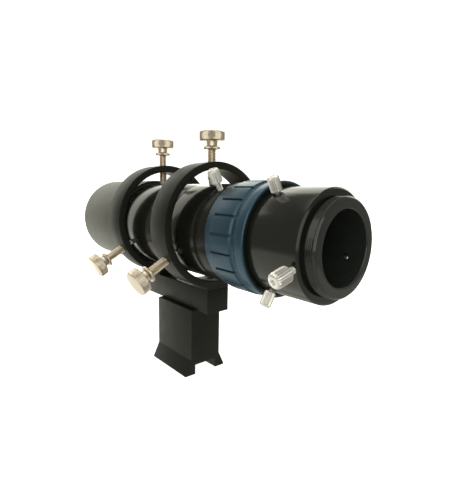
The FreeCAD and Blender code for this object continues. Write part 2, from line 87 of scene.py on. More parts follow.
def finish_mesh(name, mesh, body, material, nodes):
    """Makes a piece of a mesh in metres, which rides on a body and stands for some CAD nodes."""
    mesh.polygons.foreach_set("use_smooth", [True] * len(mesh.polygons))
    mesh.set_sharp_from_angle(angle=SHARP_ANGLE)
    piece = bpy.data.objects.new(name, mesh)
    bpy.context.scene.collection.objects.link(piece)
    mesh.materials.clear()
    mesh.materials.append(material)
    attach(piece, body)
    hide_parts(*nodes)
    return piece


def softened(points, size):
    """A closed outline with each corner turned into a small arc. A point may carry its own size."""
    count, steps = len(points), 3
    longest_share = 0.45
    result = []
    for index, point in enumerate(points):
        corner = Vector(point[:2])
        own = point[2] if len(point) > 2 else size
        before = Vector(points[index - 1][:2]) - corner
        after = Vector(points[(index + 1) % count][:2]) - corner
        cut = min(own, before.length * longest_share, after.length * longest_share)
        if own == 0 or cut < TINY:
            result.append(tuple(corner))
            continue
        start = corner + before.normalized() * cut
        end = corner + after.normalized() * cut
        for step in range(steps + 1):
            share = step / steps
            bend = start.lerp(corner, share).lerp(corner.lerp(end, share), share)
            result.append(tuple(bend))
    return result


def spin_mesh(name, rows, angles, relief=None, closed=False):
    """A surface of rows (height, radius) turned about local Z. The relief, a function of a point's
    height, radius and angle, gives the radius to use there."""
    mesh_data = bmesh.new()
    rings = []
    for height, radius in rows:
        if radius < TINY:
            rings.append([mesh_data.verts.new((0, 0, height * MM))])
            continue
        ring = []
        for angle in angles:
            reach = relief(height, radius, angle) if relief else radius
            across, up = reach * math.cos(angle) * MM, reach * math.sin(angle) * MM
            ring.append(mesh_data.verts.new((across, up, height * MM)))
        rings.append(ring)
    pairs = list(zip(rings, rings[1:]))
    if closed:
        pairs.append((rings[-1], rings[0]))
    count = len(angles)
    for low, high in pairs:
        for index in range(count):
            after = (index + 1) % count
            corners = [low[index % len(low)], low[after % len(low)],
                       high[after % len(high)], high[index % len(high)]]
            unique = list(dict.fromkeys(corners))
            if len(unique) > 2:
                mesh_data.faces.new(unique)
    bmesh.ops.recalc_face_normals(mesh_data, faces=mesh_data.faces)
    mesh = bpy.data.meshes.new(name)
    mesh_data.to_mesh(mesh)
    mesh_data.free()
    return mesh


def even_angles(count):
    return [2 * math.pi * index / count for index in range(count)]


def turned(node, body, material, outline, soft=0.3, relief=None, angles=None, holes=()):
    """A ring-shaped part on the optical axis from a closed outline of (station, radius)."""
    rows = softened(outline, soft)
    mesh = spin_mesh(node + "_surface", rows, angles or even_angles(LATHE_SEGMENTS), relief, closed=True)
    mesh.transform(Matrix.Translation((0, 0, SCOPE_HEIGHT * MM)) @ LIE_DOWN)
    mesh.flip_normals()
    if holes:
        mesh = drilled(mesh, node + "_blank", holes)
    return finish_mesh(node + "_finished", mesh, body, material, [node])


def plate_mesh(name, outlines, depth, bevel, matrix):
    """Flat outlines given thickness, with rounded edges on both faces."""
    curve = bpy.data.curves.new(name, "CURVE")
    curve.dimensions = "2D"
    curve.fill_mode = "BOTH"
    curve.extrude = (depth / 2 - bevel) * MM
    curve.bevel_depth = bevel * MM
    curve.bevel_resolution = 2
    curve.offset = -bevel * MM
    for outline in outlines:
        spline = curve.splines.new("POLY")
        spline.points.add(len(outline) - 1)
        for point, (across, up) in zip(spline.points, outline):
            point.co = (across * MM, up * MM, 0, 1)
        spline.use_cyclic_u = True
    holder = bpy.data.objects.new(name, curve)
    bpy.context.scene.collection.objects.link(holder)
    bpy.context.view_layer.update()
    evaluated = holder.evaluated_get(bpy.context.evaluated_depsgraph_get())
    mesh = bpy.data.meshes.new_from_object(evaluated)
    bpy.data.objects.remove(holder)
    bpy.data.curves.remove(curve)
    welded = bmesh.new()
    welded.from_mesh(mesh)
    bmesh.ops.remove_doubles(welded, verts=welded.verts, dist=WELD)
    bmesh.ops.recalc_face_normals(welded, faces=welded.faces)
    welded.to_mesh(mesh)
    welded.free()
    mesh.transform(matrix)
    return mesh


# ---- materials ----------------------------------------------------------------------------------

# A noise lies mostly between these two values.
NOISE_LOW, NOISE_HIGH = 0.3, 0.7


class Finish:
    """A procedural material built round one Principled shader."""

    def __init__(self, name, **settings):
        self.material = bpy.data.materials.new(name)
        self.material.use_nodes = True
        self.tree = self.material.node_tree
        self.shader = self.tree.nodes["Principled BSDF"]
        for socket, value in settings.items():
            self.shader.inputs[socket.replace("_", " ")].default_value = value
        self.place = self.add("ShaderNodeTexCoord").outputs["Object"]

    def add(self, kind, **settings):
        node = self.tree.nodes.new(kind)
        for key, value in settings.items():
            setattr(node, key, value)
        return node

    def link(self, source, target):
        self.tree.links.new(source, target)

    def stretched(self, scale):
        mapping = self.add("ShaderNodeMapping")
        self.link(self.place, mapping.inputs["Vector"])
        mapping.inputs["Scale"].default_value = scale
        return mapping.outputs["Vector"]

    def noise(self, scale, detail, stretch=(1, 1, 1)):
        node = self.add("ShaderNodeTexNoise")
        self.link(self.stretched(stretch), node.inputs["Vector"])
        node.inputs["Scale"].default_value = scale
        node.inputs["Detail"].default_value = detail
        return node.outputs["Fac"]

    def spread(self, source, low, high):
        """A noise turned into values between two ends."""
        node = self.add("ShaderNodeMapRange")
        self.link(source, node.inputs["Value"])
        node.inputs["From Min"].default_value = NOISE_LOW
        node.inputs["From Max"].default_value = NOISE_HIGH
        node.inputs["To Min"].default_value = low
        node.inputs["To Max"].default_value = high
        return node.outputs["Result"]

    def colour_between(self, source, dark, light):
        node = self.add("ShaderNodeMix", data_type="RGBA")
        self.link(self.spread(source, 0.0, 1.0), node.inputs["Factor"])
        node.inputs["A"].default_value = (*dark, 1)
        node.inputs["B"].default_value = (*light, 1)
        self.link(node.outputs["Result"], self.shader.inputs["Base Color"])

    def roughness(self, source, low, high):
        self.link(self.spread(source, low, high), self.shader.inputs["Roughness"])

    def bump(self, source, strength, distance):
        node = self.add("ShaderNodeBump")
        self.link(source, node.inputs["Height"])
        node.inputs["Strength"].default_value = strength
        node.inputs["Distance"].default_value = distance
        self.link(node.outputs["Normal"], self.shader.inputs["Normal"])


def metal_finish(name, dark, light, rough, metallic=0.0, stretch=(1, 1, 1), grain=7000.0,
                 strength=0.15, depth=0.000004, **settings):
    """Metal with a slow change of colour, faintly uneven gloss and a fine tool grain."""
    cloud, unevenness, detail = 45.0, 160.0, 2.0
    finish = Finish(name, Metallic=metallic, **settings)
    finish.colour_between(finish.noise(cloud, detail), dark, light)
    finish.roughness(finish.noise(unevenness, detail), *rough)
    finish.bump(finish.noise(grain, detail, stretch), strength, depth)
    return finish.material


# How far the tool grain is drawn out along each axis: round the scope, or along the post's length.
LATHE_LINES = (0.02, 1.0, 0.02)
LENGTHWAYS = (1.0, 0.05, 1.0)

# Each finish has its darkest and its lightest colour, then its least and its most roughness.
TUBE_GLOSS = metal_finish("tube_gloss", (0.008, 0.009, 0.007), (0.012, 0.013, 0.010), (0.12, 0.15),
                          stretch=LATHE_LINES, strength=0.05, IOR=1.36)
RING_SATIN = metal_finish("ring_satin", (0.012, 0.013, 0.010), (0.017, 0.018, 0.014), (0.40, 0.46),
                          strength=0.1, IOR=1.3)
POST_SATIN = metal_finish("post_satin", (0.009, 0.010, 0.008), (0.013, 0.014, 0.011), (0.38, 0.46),
                          stretch=LENGTHWAYS, strength=0.15, IOR=1.3)
SHIELD_SATIN = metal_finish("shield_satin", (0.078, 0.078, 0.066), (0.086, 0.086, 0.073), (0.44, 0.48),
                            stretch=LATHE_LINES, strength=0.04, IOR=1.6)
COLLAR_SATIN = metal_finish("collar_satin", (0.008, 0.009, 0.007), (0.012, 0.012, 0.010), (0.22, 0.28),
                            stretch=LATHE_LINES, strength=0.08, IOR=1.32)
BARREL_GLOSS = metal_finish("barrel_gloss", (0.009, 0.010, 0.008), (0.013, 0.014, 0.011), (0.14, 0.18),
                            stretch=LATHE_LINES, strength=0.04, IOR=1.48)
HOLDER_GLOSS = metal_finish("holder_gloss", (0.018, 0.021, 0.019), (0.024, 0.027, 0.025), (0.08, 0.11),
                            stretch=LATHE_LINES, strength=0.04, IOR=1.55)
BLUE_ANODISE = metal_finish("blue_anodise", (0.038, 0.084, 0.128), (0.045, 0.097, 0.146), (0.42, 0.46),
                            metallic=0.8, stretch=LATHE_LINES, strength=0.04, Coat_Weight=0.25,
                            Coat_Roughness=0.15)
NICKEL = metal_finish("warm_nickel", (0.78, 0.69, 0.58), (0.83, 0.74, 0.62), (0.28, 0.34), metallic=1.0,
                      strength=0.08)
CHROME = metal_finish("bright_chrome", (0.88, 0.86, 0.84), (0.92, 0.90, 0.88), (0.34, 0.40), metallic=1.0,
                      strength=0.08)
DARK_STEEL = metal_finish("black_oxide", (0.030, 0.030, 0.031), (0.050, 0.050, 0.051), (0.32, 0.42),
                          metallic=0.6)
BRASS = metal_finish("machined_brass", (0.62, 0.45, 0.20), (0.74, 0.57, 0.28), (0.22, 0.34), metallic=1.0)
MATT_BLACK = metal_finish("matt_black", (0.008, 0.008, 0.008), (0.014, 0.014, 0.014), (0.75, 0.90),
                          grain=4000.0, strength=0.3, depth=0.00001)
NYLON = metal_finish("natural_nylon", (0.74, 0.73, 0.68), (0.84, 0.83, 0.79), (0.42, 0.55))


def glass_finish(name, tint, coating):
    """Clear optical glass with a faint coloured coating."""
    finish = Finish(name, IOR=1.52, Transmission_Weight=1.0, Coat_Weight=0.6, Coat_Roughness=0.02)
    finish.shader.inputs["Coat Tint"].default_value = (*coating, 1)
    cloud = finish.noise(25.0, 1.0)
    finish.colour_between(cloud, tint, tuple(min(1.0, part + 0.03) for part in tint))
    finish.roughness(cloud, 0.0, 0.015)
    return finish.material


CROWN_GLASS = glass_finish("coated_crown", (0.90, 0.95, 0.93), (0.45, 0.85, 0.70))
FLINT_GLASS = glass_finish("flint", (0.93, 0.94, 0.92), (0.80, 0.85, 0.80))


# ---- bracket: post, block and rings -------------------------------------------------------------

def make_post():
    """The post: one outline, with the foot's flare and the channel under it, along its whole length."""
    low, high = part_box("dovetail_post")
    foot, height = high.x / MM, high.z / MM
    neck, flare, channel, depth, edge = 10.6, 9.2, 7.65, 5.9, 0.35
    right = [(channel, depth), (channel, 0), (foot, 0), (neck, flare), (neck, height)]
    left = [(-across, up) for across, up in reversed(right)]
    outline = softened(right + left, edge)
    mesh = plate_mesh("post", [outline], (high.y - low.y) / MM, edge, STAND_UP)
    finish_mesh("dovetail_post_finished", mesh, "bracket", POST_SATIN, ["dovetail_post"])


def drilled(mesh, name, holes):
    """The mesh less round holes, each a (matrix, radius, length)."""
    target = bpy.data.objects.new(name, mesh)
    bpy.context.scene.collection.objects.link(target)
    tools = []
    for index, (matrix, radius, length) in enumerate(holes):
        tool_mesh = spin_mesh(f"{name}_drill_{index}", [(-length / 2, 0), (-length / 2, radius),
                                                        (length / 2, radius), (length / 2, 0)],
                              even_angles(48))
        tool_mesh.transform(matrix)
        tool = bpy.data.objects.new(tool_mesh.name, tool_mesh)
        bpy.context.scene.collection.objects.link(tool)
        cut = target.modifiers.new(tool.name, "BOOLEAN")
        cut.operation = "DIFFERENCE"
        cut.solver = "EXACT"
        cut.object = tool
        tools.append(tool)
    bpy.context.view_layer.update()
    evaluated = target.evaluated_get(bpy.context.evaluated_depsgraph_get())
    result = bpy.data.meshes.new_from_object(evaluated)
    for used in tools + [target]:
        bpy.data.objects.remove(used)
    return result


def hole_matrix(angle, station, height, radius):
    """A frame on the radius at an angle in degrees, with local Z outwards, at a radius from an axis."""
    across, up = math.cos(math.radians(angle)), math.sin(math.radians(angle))
    spot = Vector((radius * across, station, height + radius * up)) * MM
    turn = Vector((across, 0, up)).to_track_quat("Z", "Y").to_matrix().to_4x4()
    return Matrix.Translation(spot) @ turn


def screw_hole(screw, radius, start, end):
    """A round hole on a screw's own line between two radii from the scope's axis."""
    inward = Vector(JOINTS[screw + "_turn"]["axis"])
    angle = math.degrees(math.atan2(-inward.z, -inward.x))
    station = JOINTS[screw + "_turn"]["pos_m"][1] / MM
    return hole_matrix(angle, station, SCOPE_HEIGHT, (start + end) / 2), radius, end - start


# The scope hangs a little below the middle of its rings. A ring's foot ends RING_DROP below that middle.
SCOPE_DROP = 2.8
RING_HEIGHT = SCOPE_HEIGHT + SCOPE_DROP
RING_DROP, RING_BORE, RING_EDGE = 36.1, 31.15, 35.25
RING_FOOT, RING_BEVEL = 7.75, 0.3
ALIGN_HOLE, BOLT_HOLE = 2.5, 2.1
# A ring's holes by their angle in degrees, with each one's radius.
RING_HOLES = {90: ALIGN_HOLE, 210: ALIGN_HOLE, 330: ALIGN_HOLE, 270: BOLT_HOLE}


def make_ring(node):
    """A ring with a flat foot, drilled for its three alignment screws and its bolt."""
    steps, drill_length = 180, 12.0
    join = -math.sqrt(RING_EDGE ** 2 - RING_FOOT ** 2)
    start = math.atan2(join, RING_FOOT)
    sweep = 2 * math.pi - 2 * (math.pi / 2 + start)
    arc = [(RING_EDGE * math.cos(start + sweep * step / steps),
            RING_EDGE * math.sin(start + sweep * step / steps)) for step in range(steps + 1)]
    outline = arc + [(-RING_FOOT, -RING_DROP), (RING_FOOT, -RING_DROP)]
    bore = [(RING_BORE * math.cos(angle), RING_BORE * math.sin(angle)) for angle in even_angles(steps)]
    place = middle_of(node)
    stand_up = Matrix.Translation((0, place * MM, RING_HEIGHT * MM)) @ STAND_UP
    width = front_of(node) - rear_of(node)
    mesh = plate_mesh(node, [outline, bore], width, RING_BEVEL, stand_up)
    middle_radius = (RING_EDGE + RING_BORE) / 2
    holes = [(hole_matrix(angle, place, RING_HEIGHT, middle_radius), radius, drill_length)
             for angle, radius in RING_HOLES.items()]
    mesh = drilled(mesh, node + "_blank", holes)
    finish_mesh(node + "_finished", mesh, "bracket", RING_SATIN, [node])


def make_block():
    """The CAD block with its long edges eased."""
    shortest_edge, edge_size = 0.004, 0.35 * MM
    source = frame["nodes"]["bracket_block"]
    eased = bmesh.new()
    eased.from_mesh(source.data)
    bmesh.ops.remove_doubles(eased, verts=eased.verts, dist=WELD)
    bmesh.ops.dissolve_limit(eased, angle_limit=math.radians(1), verts=eased.verts, edges=eased.edges)
    low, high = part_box("bracket_block")
    walls = (low, high)

    def on_walls(vertex):
        return sum(abs(vertex.co[axis] - wall[axis]) < TINY for axis in range(3) for wall in walls)

    edges = [edge for edge in eased.edges if edge.calc_length() > shortest_edge
             and all(on_walls(vertex) >= 2 for vertex in edge.verts)]
    bmesh.ops.bevel(eased, geom=edges, offset=edge_size, segments=3, profile=0.5, affect="EDGES")
    mesh = bpy.data.meshes.new("block_surface")
    eased.to_mesh(mesh)
    eased.free()
    finish_mesh("bracket_block_finished", mesh, "bracket", POST_SATIN, ["bracket_block"])


make_post()
make_block()
for ring in ("front_ring", "rear_ring"):
    make_ring(ring)


# ---- optical tube -------------------------------------------------------------------------------

def make_tube():
    """The tube, with a fine groove round it by each ring."""
    inner, groove, half, past_ring_middle = 23.9, TUBE - 0.35, 0.25, 4.4
    outline = [(rear_of("main_tube"), inner), (front_of("main_tube"), inner), (front_of("main_tube"), TUBE)]
    for ring_node in ("front_ring", "rear_ring"):
        line = middle_of(ring_node) + past_ring_middle
        outline += [(line + half, TUBE), (line + half, groove), (line - half, groove), (line - half, TUBE)]
    outline.append((rear_of("main_tube"), TUBE))
    turned("main_tube", "scope", TUBE_GLOSS, outline, soft=0.12)


def make_shield():
    """The dew shield, a plain sleeve."""
    rear, front = rear_of("dew_shield"), front_of("dew_shield")
    outer, inner = radius_of("dew_shield"), 27.7
    turned("dew_shield", "scope", SHIELD_SATIN,
           [(rear, inner), (front, inner), (front, outer), (rear, outer)], soft=0.35)


make_tube()
make_shield()


# ---- parts shown just as the CAD has them -------------------------------------------------------

CAD_PARTS = {
    "objective_cell": (SHIELD_SATIN, "black_anodise"),
    "front_baffle": (MATT_BLACK, "matt_black"),
    "rear_baffle": (MATT_BLACK, "matt_black"),
    "lens_spacer": (MATT_BLACK, "matt_black"),
    "lens_retainer": (MATT_BLACK, "matt_black"),
    "crown_lens": (CROWN_GLASS, "crown_glass"),
    "flint_lens": (FLINT_GLASS, "flint_glass"),
    "ring_catch": (COLLAR_SATIN, "black_anodise"),
    "guide_key": (BRASS, "brass"),
    "helical_nut": (BRASS, "brass"),
    "end_cap": (COLLAR_SATIN, "black_anodise"),
    "draw_tube": (COLLAR_SATIN, "black_anodise"),
}
for bolt in ("front_ring_bolt", "rear_ring_bolt", "front_post_bolt", "rear_post_bolt"):
    CAD_PARTS[bolt] = (DARK_STEEL, "black_steel")
for node, (material, slot) in CAD_PARTS.items():
    piece = frame["nodes"][node]
    piece.data.materials.clear()
    piece.data.materials.append(material)


# ---- focuser ------------------------------------------------------------------------------------

THUMB_HOLE = 1.5


def make_collar():
    """The fixed collar, with the lock screw's hole and the guide key's hole."""
    rear, front = rear_of("focuser_body"), front_of("focuser_body")
    bore, sleeve, collar, spigot = 22.65, 24.4, 26.0, 23.8
    seam, step = rear_of("main_tube"), -50.3
    key_angle, key_place, key_hole, drill_length = 300, -46.0, 1.25, 8.0
    middle_radius = (bore + collar) / 2
    turned("focuser_body", "scope", COLLAR_SATIN,
           [(rear, bore), (front, bore), (front, spigot), (seam, spigot), (seam, collar), (step, collar),
            (step, sleeve), (rear, sleeve)], soft=0.2,
           holes=[screw_hole("focus_lock_screw", THUMB_HOLE, bore - 2, collar + 2),
                  (hole_matrix(key_angle, key_place, SCOPE_HEIGHT, middle_radius),
                   key_hole, drill_length)])


PAD_COUNT, PAD_PHASE = 20, 11.9
PAD_TOP, VALLEY = 27.7, 26.7
PAD_FRONT, PAD_REAR = -56.1, -70.0
PAD_PITCH = 2 * math.pi / PAD_COUNT
GROOVE_WALL, GROOVE_LIP = 0.5, 0.95


def pad_angles():
    """Angles packed at each groove's walls, with a few across each pad."""
    across_pad = 7
    near = [0.0, 0.25, 0.42, 0.52, 0.62, 0.75, GROOVE_LIP, 1.4]
    offsets = sorted({side * distance / PAD_TOP for distance in near for side in (-1, 1)})
    far = near[-1] / PAD_TOP
    offsets += [far + (PAD_PITCH - 2 * far) * step / across_pad for step in range(1, across_pad)]
    first = math.radians(PAD_PHASE)
    return [first + PAD_PITCH * index + offset for index in range(PAD_COUNT) for offset in offsets]


def groove_relief(station, radius, angle):
    """The radius where the pad grooves have been cut, with rounded lips."""
    if radius <= VALLEY or not PAD_REAR - 0.01 <= station <= PAD_FRONT:
        return radius
    turn = (angle - math.radians(PAD_PHASE) + PAD_PITCH / 2) % PAD_PITCH - PAD_PITCH / 2
    distance, lip_depth = abs(turn) * PAD_TOP, 0.55
    if distance <= GROOVE_WALL:
        share = 1.0
    elif distance >= GROOVE_LIP:
        share = 0.0
    else:
        share = (1 - (distance - GROOVE_WALL) / (GROOVE_LIP - GROOVE_WALL)) ** 3 * lip_depth
    return radius - share * (radius - VALLEY)


def make_focus_ring():
    """The blue grip: a plain front edge, the pads, a shallow valley and a plain band behind it."""
    front, rear = front_of("focus_ring"), rear_of("focus_ring")
    lip_bore, well, well_front = 24.46, 25.9, -57.6
    edge, band, valley_end, band_start, chamfer = 26.9, 27.3, -72.0, -73.2, 0.5
    outline = [
        (front, lip_bore, 0.1), (front, edge - chamfer, 0.15), (front - 0.6, edge, 0.3),
        (PAD_FRONT + 0.05, edge, 0.2), (PAD_FRONT - 0.45, PAD_TOP, 0.5), (PAD_REAR + 0.45, PAD_TOP, 0.15),
        (PAD_REAR - 0.25, VALLEY, 0.2), (valley_end, VALLEY, 0.4), (band_start, band, 0.4),
        (rear + chamfer, band, 0.2), (rear, band - chamfer, 0.15), (rear, well, 0.1),
        (well_front, well, 0.1), (well_front, lip_bore, 0.1)]
    turned("focus_ring", "focuser_grip", BLUE_ANODISE, outline,
           relief=groove_relief, angles=pad_angles())


make_collar()
make_focus_ring()


# ---- rear adapter -------------------------------------------------------------------------------

ADAPTER_SCREWS = ["upper_adapter_screw", "lower_adapter_screw", "right_adapter_screw"]
EYEPIECE_SCREWS = ["eyepiece_screw", "far_eyepiece_screw"]


def make_barrel():
    """The barrel, stepped inside for the draw tube and the holder, with a chamfered rear edge."""
    rear, front = rear_of("adapter_barrel"), front_of("adapter_barrel")
    outer, socket, bore, step, chamfer = 24.6, 22.66, 20.1, -86.4, 0.9
    turned("adapter_barrel", "adapter", BARREL_GLOSS,
           [(front, socket), (step, socket), (step, bore), (rear, bore), (rear, outer - chamfer),
            (rear + chamfer, outer), (front, outer)], soft=0.2,
           holes=[screw_hole(screw, THUMB_HOLE, bore - 2, outer + 2)
                  for screw in ADAPTER_SCREWS + EYEPIECE_SCREWS])


def make_holder():
    """The eyepiece holder, with a relief groove, thread ridges and a wide lead on its camera spigot."""
    rear, front = rear_of("eyepiece_holder"), front_of("eyepiece_holder")
    bore, stop, stop_hole, outer, thread, shoulder = 15.95, -80.0, 13.5, 20.0, 21.0, -105.0
    pitch, depth, samples, turns = 0.75, 0.42, 8, 4
    relief_end, lead, bore_lead = shoulder - 0.8, 0.85, 0.35
    flank = 1.15
    root = thread - depth
    ridges = [(relief_end - pitch * index / samples, thread, 0) for index in range(turns * samples + 1)]
    outline = [(front, stop_hole, 0.1), (front, outer, 0.2), (shoulder, outer, 0.1),
               (shoulder, root + 0.1, 0.1), (shoulder - 0.45, root, 0.2), (relief_end, root, 0.05)]
    outline += ridges
    outline += [(rear + lead, thread - 0.02, 0.1), (rear, thread - lead, 0.25),
                (rear, bore + bore_lead, 0.1), (rear + bore_lead, bore, 0.1),
                (stop, bore, 0.1), (stop, stop_hole, 0.1)]

    def thread_relief(station, radius, angle):
        if radius < thread - TINY:
            return radius
        phase = ((shoulder - station) / pitch + angle / (2 * math.pi)) % 1.0
        return thread - depth * min(1.0, abs(2 * phase - 1) * flank)

    turned("eyepiece_holder", "adapter", HOLDER_GLOSS, outline, relief=thread_relief,
           holes=[screw_hole(screw, THUMB_HOLE, bore - 2, outer + 2) for screw in EYEPIECE_SCREWS])


make_barrel()
make_holder()


# ---- screws -------------------------------------------------------------------------------------

def screw_frame(joint_name):
    """A frame at a screw's tip end with local Z outwards, from the joint that turns it."""
    joint = JOINTS[joint_name]
    outward = -Vector(joint["axis"]).normalized()
    turn = outward.to_track_quat("Z", "Y").to_matrix().to_4x4()
    return Matrix.Translation(Vector(joint["pos_m"])) @ turn


# A thread's crests come to a line at 1, and are flat above it.
CREST_WIDTH = 1.4


def threaded(start, end, crest, root, pitch):
    """Rows and relief of a helical thread between two heights, running out at both."""
    samples = 8
    count = max(2, int((end - start) / pitch * samples))
    rows = [(start + (end - start) * index / count, crest) for index in range(count + 1)]

    def relief(height, radius, angle):
        if not start <= height <= end or abs(radius - crest) > TINY:
            return radius
        phase = (height / pitch - angle / (2 * math.pi)) % 1.0
        return root + (crest - root) * min(1.0, CREST_WIDTH * (1 - abs(2 * phase - 1)))

    return rows, relief


def knurl(teeth, depth, pitch=0.0):
    """A radius change round a head: straight teeth, or diamonds where a pitch is given."""
    def change(height, angle):
        def wave(turns):
            return abs((turns % 1.0) * 2 - 1)
        straight = teeth * angle / (2 * math.pi)
        if not pitch:
            return depth * wave(straight)
        return depth * max(wave(straight + height / pitch), wave(straight - height / pitch))
    return change


def spun_screw(name, body, matrix, rows, relief, segments, material):
    """A screw or its tip, which stands for the CAD node of the same name."""
    mesh = spin_mesh(name, rows, even_angles(segments), relief)
    mesh.transform(matrix)
    return finish_mesh(name + "_finished", mesh, body, material, [name])


# Alignment screws, M5: radii, lengths along the screw, and each knurl's count of teeth and their depth.
ALIGN = {"tip": 2.2, "length": 23.2, "neck": 3.3, "neck_length": 2.8, "neck_inner": 2.5,
         "head": 7.0, "height": 5.2, "shank": 2.45, "thread_depth": 0.52, "pitch": 0.8,
         "tip_radius": 1.7, "teeth": 56, "tooth": 0.24, "rim": 0.4,
         "nut_base": 18.65, "nut_height": 1.6, "nut_radius": 4.6, "nut_bore": 2.52,
         "nut_edge": 0.3, "nut_teeth": 40, "nut_tooth": 0.2}
TIP_SEGMENTS = 32


def make_alignment_screw(name):
    """An alignment screw with its knurled head, and its nylon tip and its lock nut."""
    matrix = screw_frame(name + "_turn")
    neck_start = ALIGN["length"] - ALIGN["neck_length"]
    base, top = ALIGN["length"], ALIGN["length"] + ALIGN["height"]
    neck, head, rim, edge = ALIGN["neck"], ALIGN["head"], ALIGN["rim"], 0.25
    root = ALIGN["shank"] - ALIGN["thread_depth"]
    rows, thread = threaded(ALIGN["tip"] + 0.2, neck_start - 0.1, ALIGN["shank"], root, ALIGN["pitch"])
    cut = knurl(ALIGN["teeth"], ALIGN["tooth"])
    rim_low, rim_high = base + rim, top - rim
    head_rows = [(neck_start, ALIGN["neck_inner"]), (neck_start, neck - edge), (neck_start + edge, neck),
                 (base - 0.1, neck), (base, neck + 0.2), (base, head - 0.5),
                 (base + 0.1, head - 0.3), (rim_low, head)]
    head_rows += [(rim_low + (rim_high - rim_low) * step / 6, head) for step in range(1, 7)]
    head_rows += [(top - 0.2, head - 0.15), (top - 0.05, head - 0.4), (top, head - 0.7), (top, 0)]

    def relief(height, radius, angle):
        if abs(radius - head) < TINY:
            at_rim = 0.35
            fade = min(1.0, (height - rim_low) / rim + at_rim, (rim_high - height) / rim + at_rim)
            return radius - cut(height, angle) * fade
        return thread(height, radius, angle)

    all_rows = [(ALIGN["tip"], 0), (ALIGN["tip"], root)] + rows + head_rows
    spun_screw(name, name + "_body", matrix, all_rows, relief, 4 * ALIGN["teeth"], NICKEL)
    tip = ALIGN["tip_radius"]
    tip_rows = [(0, 0), (0, tip - 0.25), (0.12, tip - 0.06), (0.3, tip), (ALIGN["tip"], tip),
                (ALIGN["tip"], 0)]
    spun_screw(name + "_tip", name + "_tip_body", matrix, tip_rows, None, TIP_SEGMENTS, NYLON)
    nut = name.replace("_screw", "_nut")
    low, high = ALIGN["nut_base"], ALIGN["nut_base"] + ALIGN["nut_height"]
    wide, bore, chamfer = ALIGN["nut_radius"], ALIGN["nut_bore"], ALIGN["nut_edge"]
    grip = knurl(ALIGN["nut_teeth"], ALIGN["nut_tooth"])
    nut_rows = softened([(low, bore), (low, wide - chamfer), (low + chamfer, wide), (high - chamfer, wide),
                         (high, wide - chamfer), (high, bore)], 0.08)

    def nut_relief(height, radius, angle):
        return radius - grip(height, angle) if radius > wide - 0.02 else radius

    mesh = spin_mesh(nut, nut_rows, even_angles(4 * ALIGN["nut_teeth"]), nut_relief, closed=True)
    mesh.transform(matrix)
    finish_mesh(nut + "_finished", mesh, nut + "_body", NICKEL, [nut])


THUMB_TIP, THUMB_SHANK, THUMB_NECK = 1.0, 1.45, 1.75
THUMB_THREAD_DEPTH, THUMB_PITCH, THUMB_TIP_RADIUS = 0.25, 0.5, 1.1
THUMB_SEGMENTS, THUMB_TIP_SEGMENTS = 240, 40


def make_thumb_screw(name, length, head, height, diamond=False):
    """An M3 screw with a fluted head, a rounded end with a dimple, and a domed tip. The length runs
    from the tip to the head, and the head is its radius."""
    matrix = screw_frame(name + "_turn")
    top = length + height
    root = THUMB_SHANK - THUMB_THREAD_DEPTH
    rows, thread = threaded(THUMB_TIP + 0.1, length - 0.5, THUMB_SHANK, root, THUMB_PITCH)
    cut = knurl(18, 0.30, pitch=1.5) if diamond else knurl(20, 0.42)
    rounding, dimple, dimple_depth = head * 0.5, head * 0.34, 1.3
    rim_low, rim_high = length + 0.3, top - rounding
    count = 40 if diamond else 8
    head_rows = [(length - 0.4, THUMB_NECK - 0.05), (length, THUMB_NECK), (length, head - 0.5),
                 (length + 0.08, head - 0.2), (rim_low, head)]
    head_rows += [(rim_low + (rim_high - rim_low) * step / count, head) for step in range(1, count + 1)]
    head_rows += [(rim_high + rounding * math.sin(turn), head - rounding + rounding * math.cos(turn))
                  for turn in (math.pi / 2 * step / 8 for step in range(1, 9))]
    head_rows += [(top, dimple + 0.08), (top - 0.12, dimple), (top - dimple_depth + 0.2, dimple * 0.8),
                  (top - dimple_depth, 0.0)]

    def relief(height, radius, angle):
        if height > length and radius > head - rounding + 0.05:
            fade = min(1.0, (height - length) / 0.5, 1.3 * (radius - head + rounding) / rounding - 0.3)
            return radius - cut(height, angle) * max(0.0, fade)
        return thread(height, radius, angle)

    all_rows = [(THUMB_TIP, 0), (THUMB_TIP, root)] + rows + head_rows
    spun_screw(name, name + "_body", matrix, all_rows, relief, THUMB_SEGMENTS, CHROME)
    dome = 0.5
    tip_rows = [(dome - dome * math.cos(turn), THUMB_TIP_RADIUS * math.sin(turn))
                for turn in (math.pi / 2 * step / 8 for step in range(9))]
    tip_rows += [(THUMB_TIP, THUMB_TIP_RADIUS), (THUMB_TIP, 0)]
    spun_screw(name + "_tip", name + "_tip_body", matrix, tip_rows, None, THUMB_TIP_SEGMENTS,
               CHROME)


for end in ("front", "rear"):
    for side in ("top", "left", "right"):
        make_alignment_screw(f"{end}_{side}_screw")
for screw in ADAPTER_SCREWS:
    make_thumb_screw(screw, length=3.55, head=2.6, height=7.0)
make_thumb_screw("eyepiece_screw", length=11.7, head=3.4, height=7.9)
make_thumb_screw("far_eyepiece_screw", length=9.5, head=2.6, height=7.0)
make_thumb_screw("focus_lock_screw", length=7.35, head=3.0, height=7.2, diamond=True)


# ---- stage, light and camera --------------------------------------------------------------------
# Sizes and places here are in metres, apart from the camera's place.

